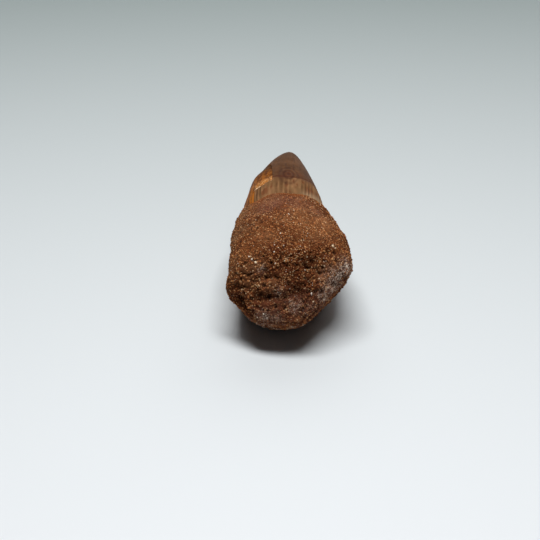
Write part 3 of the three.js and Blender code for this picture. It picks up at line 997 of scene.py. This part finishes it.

# %% [markdown]
# ## Where the rock changes colour
# The sandstone is one iron-red rock, yet it is not one colour. Near the crown and under the
# ledge it is mauve, the top has been rubbed to a bare tan, and the left side has weathered
# grey. Umber is painted as shade into the hollows of the broken end, along its ledge and over its
# lower lobe, and as a darker tint on parts of the top, and pale dust clings to its lower right and
# to the strata. Named patches hold these tints, and both the block and the grains that will sit
# on it ask the same function, so that their colours agree.

# %% Patches on the rock
TINTS = {                     # its paint, how much of it is laid on, and middle, reach, strength
    "mauve": (0x785044, 0.50, [
        ((-3.5, 26.5, 19.6), 4.5, 0.85),
        ((2.5, 27.5, 19.6), 3.4, 0.85),
        ((6.6, 25.5, 18.6), 3.0, 0.55),
        ((-1.6, 1.5, 10.4), 5.0, 0.50),
        ((4.5, 2.2, 11.0), 4.0, 0.50),
        ((8.6, 5.0, 13.5), 3.0, 0.45),
    ]),
    "bare": (0xB08058, 0.24, [
        ((7.4, 22.6, 19.0), 2.6, 1.0),
        ((4.6, 23.5, 19.2), 3.6, 0.8),
        ((3.6, 20.6, 20.1), 2.6, 1.0),
        ((0.0, 19.4, 20.3), 2.2, 0.8),
        ((3.8, 15.6, 20.6), 2.2, 0.8),
        ((6.8, 13.0, 19.9), 2.8, 0.9),
        ((-4.0, 12.4, 20.6), 2.6, 0.7),
        ((8.0, 19.5, 18.6), 3.2, 1.2),
        ((-3.0, 28.5, 19.5), 2.0, 0.8),
        ((3.4, 28.5, 19.3), 2.0, 0.6),
        ((-7.2, 28.6, 17.6), 2.5, 0.8),
        ((-2.2, 1.3, 6.0), 1.1, 1.2),
        ((0.8, 1.1, 6.2), 1.1, 1.2),
        ((2.6, 0.7, 8.3), 0.9, 1.0),
        ((-8.4, 5.2, 17.2), 3.4, 1.1),
        ((-5.7, 5.2, 18.9), 2.0, 1.1),
        ((-3.0, 3.7, 15.1), 1.9, 1.2),
        ((-5.7, 3.3, 14.4), 1.3, 1.0),
        ((-7.5, 4.0, 15.0), 1.8, 1.2),
        ((8.4, 6.2, 16.5), 2.2, 1.1),
    ]),
    # painted shade in umber: under the ledge, over the lower lobe and in hollows; a darker tint on parts
    # of the top
    "umber": (0x32180C, 0.55, [
        ((-5.7, 3.0, 12.9), 1.1, 1.0),
        ((-3.9, 3.2, 12.3), 1.1, 1.0),
        ((-2.0, 2.8, 11.9), 1.1, 1.0),
        ((-0.2, 2.5, 12.4), 1.2, 1.1),
        ((1.7, 3.0, 12.9), 1.2, 1.1),
        ((3.5, 3.1, 12.9), 1.1, 1.1),
        ((6.9, 3.5, 13.1), 1.2, 0.9),
        ((5.4, 2.1, 11.6), 1.4, 0.8),
        ((0.5, 10.5, 20.6), 3.0, 0.60),
        ((6.0, 10.4, 19.8), 3.0, 0.60),
        ((-2.6, 8.0, 20.6), 2.2, 0.45),
        ((0.6, 5.0, 18.4), 2.4, 0.6),
        ((4.4, 6.0, 18.0), 1.8, 0.9),
        ((-3.9, 5.6, 18.8), 1.1, 0.6),
        ((1.7, 4.0, 16.2), 1.5, 0.6),
        ((-2.0, 0.9, 10.1), 1.5, 0.8),
        ((-4.0, 0.8, 9.8), 1.4, 1.2),
        ((4.3, 1.9, 11.8), 1.5, 0.9),
        ((5.2, 0.8, 9.6), 1.4, 0.8),
        ((3.4, 0.5, 8.7), 1.1, 0.7),
        ((0.5, 0.9, 9.8), 1.5, 0.6),
    ]),
    "weathered": (0x7C6248, 0.38, [
        ((-10.4, 18.5, 15.5), 4.5, 0.9),
        ((-10.2, 26.4, 14.0), 4.5, 0.9),
        ((-10.8, 11.5, 14.5), 2.5, 0.5),
    ]),
    "dust": (0xD8C0AE, 0.78, [
        ((12.4, 8.4, 15.6), 1.7, 1.4),
        ((11.2, 7.3, 14.6), 1.5, 1.2),
        ((9.6, 6.2, 14.2), 1.4, 0.9),
        ((9.4, 6.3, 15.7), 1.5, 0.8),
        ((10.8, 6.9, 14.4), 1.2, 0.9),
        ((10.3, 6.4, 12.0), 1.7, 1.1),
        ((8.1, 4.0, 11.6), 1.6, 0.7),
        ((8.6, 4.7, 13.6), 1.0, 0.6),
        ((13.2, 11.0, 13.5), 1.2, 0.9),
        ((1.8, 1.4, 11.2), 1.4, 0.65),
        ((5.0, 1.6, 10.2), 1.6, 0.20),
        ((-5.1, 5.0, 18.0), 0.8, 0.8),
        ((-1.5, 3.0, 13.4), 1.0, 0.5),
        ((-4.6, 0.6, 8.5), 1.5, 0.60),
        ((-1.6, 0.4, 8.4), 1.4, 0.35),
    ]),
}
BARE_GLOW = (1.9, 0.32)       # how many times paler rubbed rock is, and how much of that shows
FRESH_RED = (0x6A2E14, 0.30)  # the paint of freshly broken rock, and how much of it
RUST = (0x8A4A1E, 0.80)       # the paint of the lip round the crown, and how much of it
DUST_ON_CEMENT = 0.25         # the dust lies on the grains and less between them

print("patches:", ", ".join(f"{len(patches)} {name}" for name, (_, _, patches) in TINTS.items()))

# %% [markdown]
# ## From patches to masks
# A patch is a bell round its middle, and ragged noise eats into it. Where patches of one tint
# overlap, the stronger one counts. The strata add dust to the layers that stand out and painted
# shade in umber to the grooves between them, and a rusty lip follows the edge of the crown.


# %% Masks for the rock
def rock_patches(points, outside, fresh):
    """Masks for each tint, for the rusty lip and for how freshly the rock is broken."""
    ragged = 0.6 * hills(points, 1.8, 61) + 0.4 * hills(points, 0.7, 62)
    masks = {"fresh": fresh}
    for name, (_, _, patches) in TINTS.items():
        mask = np.zeros(len(points))
        for middle, reach, strength in patches:
            away = np.linalg.norm(points - middle, axis=1)
            mask = np.maximum(mask, strength * mound(away, reach) * (0.85 + 0.9 * ragged))
        masks[name] = np.clip(mask, 0, 1)
    layered = strata(points)
    masks["dust"] = np.maximum(masks["dust"], 0.6 * rise(layered, 0.4, 0.9))
    # painted shade: umber in the grooves between the strata
    masks["umber"] = np.maximum(masks["umber"], 1 - rise(layered, -0.8, -0.2))
    on_top = rise(points[:, 2], 12, 15) * rise(points[:, 1], 26, 28)
    right = 0.5 + 0.5 * rise(points[:, 0], 1.5, 4.0)
    masks["rust"] = (1 - rise(outside + 0.2 * ragged, 0.35, 0.75)) * on_top * right
    return masks


block_masks = rock_patches(block_points, outside_crown, block_fresh)
print("dusty share of the block:", (block_masks["dust"] > 0.2).mean().round(3))
block_masks["dust"] = block_masks["dust"] * DUST_ON_CEMENT
# the pits, into which shade is painted
block_masks["pit"] = np.clip(pits, 0, 1)

# %% [markdown]
# ## The cement between the grains
# Sand turns to stone when something glues it together, and here that is a dark iron cement. It
# shows between the grains, with shade painted darkest into every pit. The tints of the patches are laid
# over it by
# one function, which the grains use as well. Where the rock is rubbed bare its own colour is
# scaled up before a thin coat of paint goes on, so that grains still differ from one another.


# %% Mix the sandstone
def patched(colour, spot):
    """Lays the rock's own tints over a colour, redder where the rock is freshly broken."""
    colour = blend(carried(spot, "fresh") * FRESH_RED[1], colour, paint(FRESH_RED[0]))
    paler, share = BARE_GLOW
    lit = colour.node("VectorMath", {"operation": "SCALE"}, {"Vector": colour, "Scale": paler})
    colour = blend(carried(spot, "bare") * share, colour, lit)
    for name, (chart, amount, _) in TINTS.items():
        colour = blend(carried(spot, name) * amount, colour, paint(chart))
    return blend(carried(spot, "rust") * RUST[1], colour, paint(RUST[0]))


def make_sandstone():
    """The iron cement between the grains: red-brown, with painted shade in every pit."""
    material, shader, spot = new_finish("red_sandstone")
    grit = clouds(spot, 0.3, detail=4, seed=11)
    cloud = swept(clouds(spot, 4.0, seed=12), 0.35, 0.65)
    rubbed = blend(cloud, paint(0x5C3219), paint(0x6C3E20))
    broken = blend(cloud, paint(0x4E2814), paint(0x663A20))
    colour = blend(carried(spot, "fresh"), rubbed, broken)
    colour = blend(swept(grit, 0.42, 0.66) * 0.85, colour, paint(0x200E06))
    # painted shade: near black in every pit
    colour = blend(carried(spot, "pit") * 0.85, colour, paint(0x180A06))
    wear(shader, "Base Color", patched(colour, spot))
    wear(shader, "Roughness", 0.85 + grit * 0.12)
    wear(shader, "Normal", bumped(grit, 0.06))
    shader.inputs["Specular IOR Level"].default_value = 0.05
    return material


block = new_piece("sandstone_block", block_points, block_faces.tolist(), block_masks, make_sandstone())
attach(block, "root")
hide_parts("sandstone_matrix")
print("the block is in place")

# %% [markdown]
# ## Sand, grain by grain
# Sandstone is sand. What gives it its look is thousands of rounded grains, a third to half a
# millimetre wide, each well sunk in the cement and each a little different in tint. Painting
# them on would look flat from close by, so they are sown as small pebbles over the block and
# joined into a few meshes by kind of grain. All of them start from one ball of twenty faces.

# %% Five kinds of grain and one pebble
GRAIN_KINDS = [               # name, how many, mean radius, liking for dust, paints dark to pale
    ("iron_red_grains", 9500, 0.19, 0, (0x3E1808, 0x8A4824, 0xC4824C)),
    ("brown_grains", 9300, 0.18, 0, (0x140804, 0x562C16, 0x966036)),
    ("orange_grains", 9200, 0.18, 0, (0x52280E, 0xA06032, 0xD8A26C)),
    ("tan_grains", 5600, 0.17, 2, (0x7A5030, 0xBA8A5A, 0xE6C498)),
    ("quartz_grains", 800, 0.15, 40, (0x9A7E60, 0xD4BA9A, 0xF6E6D2)),
]
SIZE_SPREAD = 0.26            # as the spread of the logarithm of the radius
NARROWEST = 0.6               # no axis is squashed to less than this
SUNK = (0.0, 0.65)            # how deep the middle lies, in radii
DUST_STICKS = 0.7             # the share of the grains that the dust sticks to

pebble = bmesh.new()
bmesh.ops.create_icosphere(pebble, subdivisions=1, radius=1)
PEBBLE_POINTS = np.array([vertex.co[:] for vertex in pebble.verts])
PEBBLE_FACES = np.array([[vertex.index for vertex in face.verts] for face in pebble.faces])

print("one pebble has", len(PEBBLE_POINTS), "points and", len(PEBBLE_FACES), "faces")

# %% [markdown]
# ## Seats for the grains
# Grains must lie evenly, so a square of the net is drawn by lot with a chance that grows with
# its area, and the seat is a random place in that square. The chance is nothing on the crown
# and on the face that lies on the table. Pale grains like the dusty places more than others do.


# %% Draw the seats
ON_CROWN = 0.1                # closer to the crown than this no grain sits
FACING_TABLE = -0.7           # below REST_HEIGHT, faces that look down more than this stay bare
FRESH_AS_DUSTY = 0.04         # freshly broken rock draws the pale grains a little as well


def seats(dice, count, dust_liking):
    """Random places on the block, off the table and the crown, and the block point beside each."""
    a, b, c = (block_points[block_faces[:, corner]] for corner in (0, 1, 2))
    first = block_faces[:, 0]
    chance = np.linalg.norm(np.cross(b - a, c - a), axis=1)
    dusty = block_masks["dust"][first] + FRESH_AS_DUSTY * block_masks["fresh"][first]
    chance *= (1 + dust_liking * dusty) * (outside_crown[first] > ON_CROWN)
    chance *= (a[:, 2] > REST_HEIGHT) | (block_out[first, 2] > FACING_TABLE)
    face = dice.choice(len(chance), count, p=chance / chance.sum())
    across, along = dice.random((2, count, 1))
    corners = [block_points[block_faces[face, corner]] for corner in range(4)]
    low = corners[0] * (1 - across) + corners[1] * across
    high = corners[3] * (1 - across) + corners[2] * across
    return low * (1 - along) + high * along, block_faces[face, 0]


some_seats, _ = seats(np.random.default_rng(2), 500, 0)
print("of 500 seats", (some_seats[:, 1] < 5).sum(), "are on the first 5 mm of the broken end")

# %% [markdown]
# ## No two pebbles alike
# Each pebble is squashed along its three axes, made a little knobbly, turned any way round and
# sunk up to its middle or deeper. A random turn comes from four normal numbers, taken as a
# quaternion of length one, because that favours no direction.


# %% Shape the pebbles
def random_turns(dice, count):
    """Random rotations, as one 3 by 3 matrix for each grain."""
    x, y, z, w = dice.normal(size=(4, count))
    length = np.sqrt(x * x + y * y + z * z + w * w)
    x, y, z, w = x / length, y / length, z / length, w / length
    rows = [
        [1 - 2 * (y * y + z * z), 2 * (x * y - z * w), 2 * (x * z + y * w)],
        [2 * (x * y + z * w), 1 - 2 * (x * x + z * z), 2 * (y * z - x * w)],
        [2 * (x * z - y * w), 2 * (y * z + x * w), 1 - 2 * (x * x + y * y)],
    ]
    return np.array(rows).transpose(2, 0, 1)


def pebbles_at(dice, places, outs, radii):
    """The points of one squashed and turned pebble for each place, well sunk in the rock."""
    count = len(places)
    squash = dice.uniform(NARROWEST, 1, (count, 1, 3))
    knobbly = 1 + 0.12 * dice.normal(size=(count, len(PEBBLE_POINTS), 1)).clip(-1.5, 1.5)
    shapes = PEBBLE_POINTS[None] * squash * knobbly
    turned = np.einsum("nij,nkj->nki", random_turns(dice, count), shapes)
    sunk = dice.uniform(*SUNK, count) * radii
    middles = places - outs * sunk[:, None]
    points = middles[:, None] + turned * radii[:, None, None]
    points[..., 2] = np.maximum(points[..., 2], 0)
    return points


four = pebbles_at(np.random.default_rng(3), np.zeros((4, 3)) + 5, np.ones((4, 3)), np.ones(4))
print("four pebbles are", np.ptp(four[:, :, 0], axis=1).round(2), "wide for a radius of 1")

# %% [markdown]
# ## The finish of a grain
# Thousands of grains share one material. What makes them differ is one number on each grain,
# its tone, which a colour ramp turns into one of the paints between dark and pale. The patches
# of the rock are laid over that, so that a dusty place is dusty on every grain in it.


# %% Mix the finish of the grains
def make_grain(name, dark, middle, pale):
    """The finish of one kind of grain, with its own tone for each grain."""
    material, shader, spot = new_finish(name)
    tone = carried(spot, "tone")
    colour = tone.node(
        "ValToRGB",
        {"stops": [(0.0, paint(dark)), (0.55, paint(middle)), (1.0, paint(pale))]},
        {0: tone},
    )
    grit = clouds(spot, 0.12, detail=3, seed=21)
    colour = blend(swept(grit, 0.5, 0.8) * 0.5, colour, paint(dark))
    wear(shader, "Base Color", patched(colour, spot))
    wear(shader, "Roughness", 0.65 + grit * 0.3)
    wear(shader, "Normal", bumped(grit, 0.02))
    shader.inputs["Specular IOR Level"].default_value = 0.08
    return material


print("the paints of the first kind:", ", ".join(f"{chart:06X}" for chart in GRAIN_KINDS[0][4]))

# %% [markdown]
# ## Sowing
# Now seats, sizes, shapes and tones come together, kind by kind. On the fresh end the grains
# are larger and their tones are further apart. Near the crown they are smaller, as the lip is
# worn thin there. Each kind has its own seed, so the same grains fall in the same places again.


# %% Sow the grains
def sow(name, count, mean_radius, dust_liking, paints, seed):
    """Joins one kind of grain into one piece, each grain well sunk in the block."""
    dice = np.random.default_rng(seed)
    places, beside = seats(dice, count, dust_liking)
    outs = block_out[beside]
    outside = crown_place(places)[2]
    fresh = freshness(places, outs)
    radii = mean_radius * dice.lognormal(0, SIZE_SPREAD, len(places)).clip(0.5, 1.9)
    radii *= (0.88 + 0.16 * fresh) * (0.75 + 0.25 * rise(outside, 0, 1.0))
    points = pebbles_at(dice, places, outs, radii)
    per_grain = rock_patches(places, outside, fresh)
    # painted shade: grains that sit in a pit take the umber tint
    per_grain["umber"] = np.maximum(per_grain["umber"], 0.9 * block_masks["pit"][beside])
    per_grain["dust"] *= np.where(dice.random(len(places)) < DUST_STICKS, 1.2, 0.1)
    cloudy = 0.14 * hills(places, 2.2, 90) + 0.14 * hills(places, 0.7, 91)
    spread = (dice.beta(1.2, 1.2, len(places)) - 0.5) * (0.85 + 0.85 * fresh)
    per_grain["tone"] = np.clip(0.5 + 0.12 * fresh + spread + cloudy, 0, 1)
    masks = {mask: np.repeat(values, len(PEBBLE_POINTS)) for mask, values in per_grain.items()}
    first = np.arange(len(places))[:, None, None] * len(PEBBLE_POINTS)
    faces = (PEBBLE_FACES[None] + first).reshape(-1, 3)
    finish = make_grain(name, *paints)
    grains = new_piece(name, points.reshape(-1, 3), faces.tolist(), masks, finish, smooth=False)
    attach(grains, "root")
    return grains


for number, kind in enumerate(GRAIN_KINDS):
    name = kind[0]
    grains = sow(*kind, seed=70 + number)
    print(name, len(grains.data.polygons), "triangles")

# %% [markdown]
# ## The grains that catch the eye
# A few grains are larger or paler than the rest: a cream one at each end of the upper edge, a
# long one on the broken end, a white fleck at the right corner. They are the marks by which one
# would know this very stone again, so each has its own place, size and stretch. The nearest
# point of the sculpted block gives the seat, which keeps them bedded in the rock.

# %% Bed the pale grains
PALE_GRAINS = [               # place, radius, stretch upwards
    ((-6.1, 5.4, 19.5), 0.42, 1.0),
    ((-6.8, 5.7, 19.8), 0.26, 1.0),
    ((9.7, 11.2, 19.2), 0.55, 1.0),
    ((10.3, 10.9, 18.9), 0.32, 1.0),
    ((5.4, 3.1, 13.1), 0.36, 2.0),
    ((12.7, 8.9, 15.8), 0.40, 1.3),
    ((3.8, 27.9, 19.3), 0.38, 1.0),
    ((-1.5, 7.8, 21.3), 0.30, 1.0),
    ((-0.9, 14.0, 20.6), 0.24, 1.0),
    ((0.7, 21.7, 20.2), 0.32, 1.0),
    ((-6.2, 20.9, 19.2), 0.24, 1.0),
    ((-6.4, 8.6, 21.1), 0.26, 1.0),
    ((-0.2, 5.6, 19.2), 0.22, 1.0),
    ((-1.5, 3.1, 13.4), 0.26, 1.0),
    ((-4.5, 0.8, 9.5), 0.22, 1.0),
    ((-5.8, 1.1, 8.4), 0.24, 1.0),
    ((-2.3, 6.9, 21.0), 0.22, 1.0),
    ((5.7, 2.2, 11.7), 0.22, 1.2),
    ((1.0, 1.4, 11.3), 0.24, 1.0),
]
PALE_PAINTS = (0xB8986E, 0xE0C8A4, 0xF6EBDA)

wanted = np.array([place for place, _, _ in PALE_GRAINS])
nearest = np.array([((block_points - place) ** 2).sum(axis=1).argmin() for place in wanted])
radii = np.array([radius for _, radius, _ in PALE_GRAINS])
stretch = np.array([[1, 1, tall] for _, _, tall in PALE_GRAINS])
dice = np.random.default_rng(99)
pale_points = pebbles_at(dice, block_points[nearest], block_out[nearest], radii)
pale_middles = pale_points.mean(axis=1, keepdims=True)
pale_points = pale_middles + (pale_points - pale_middles) * stretch[:, None]
pale_masks = {name: np.zeros(len(wanted) * len(PEBBLE_POINTS)) for name in (*TINTS, "rust", "fresh")}
pale_masks["tone"] = np.repeat(dice.uniform(0.55, 1, len(wanted)), len(PEBBLE_POINTS))
pale_first = np.arange(len(wanted))[:, None, None] * len(PEBBLE_POINTS)
pale_grains = new_piece(
    "pale_grains",
    pale_points.reshape(-1, 3),
    (PEBBLE_FACES[None] + pale_first).reshape(-1, 3).tolist(),
    pale_masks,
    make_grain("pale_grains", *PALE_PAINTS),
    smooth=False,
)
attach(pale_grains, "root")
print("bedded", len(wanted), "pale grains")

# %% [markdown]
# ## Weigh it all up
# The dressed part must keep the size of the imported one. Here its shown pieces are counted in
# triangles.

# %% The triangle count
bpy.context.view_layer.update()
triangles = sum(
    len(face.vertices) - 2 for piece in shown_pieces() for face in piece.data.polygons
)
print("triangles in all:", triangles)
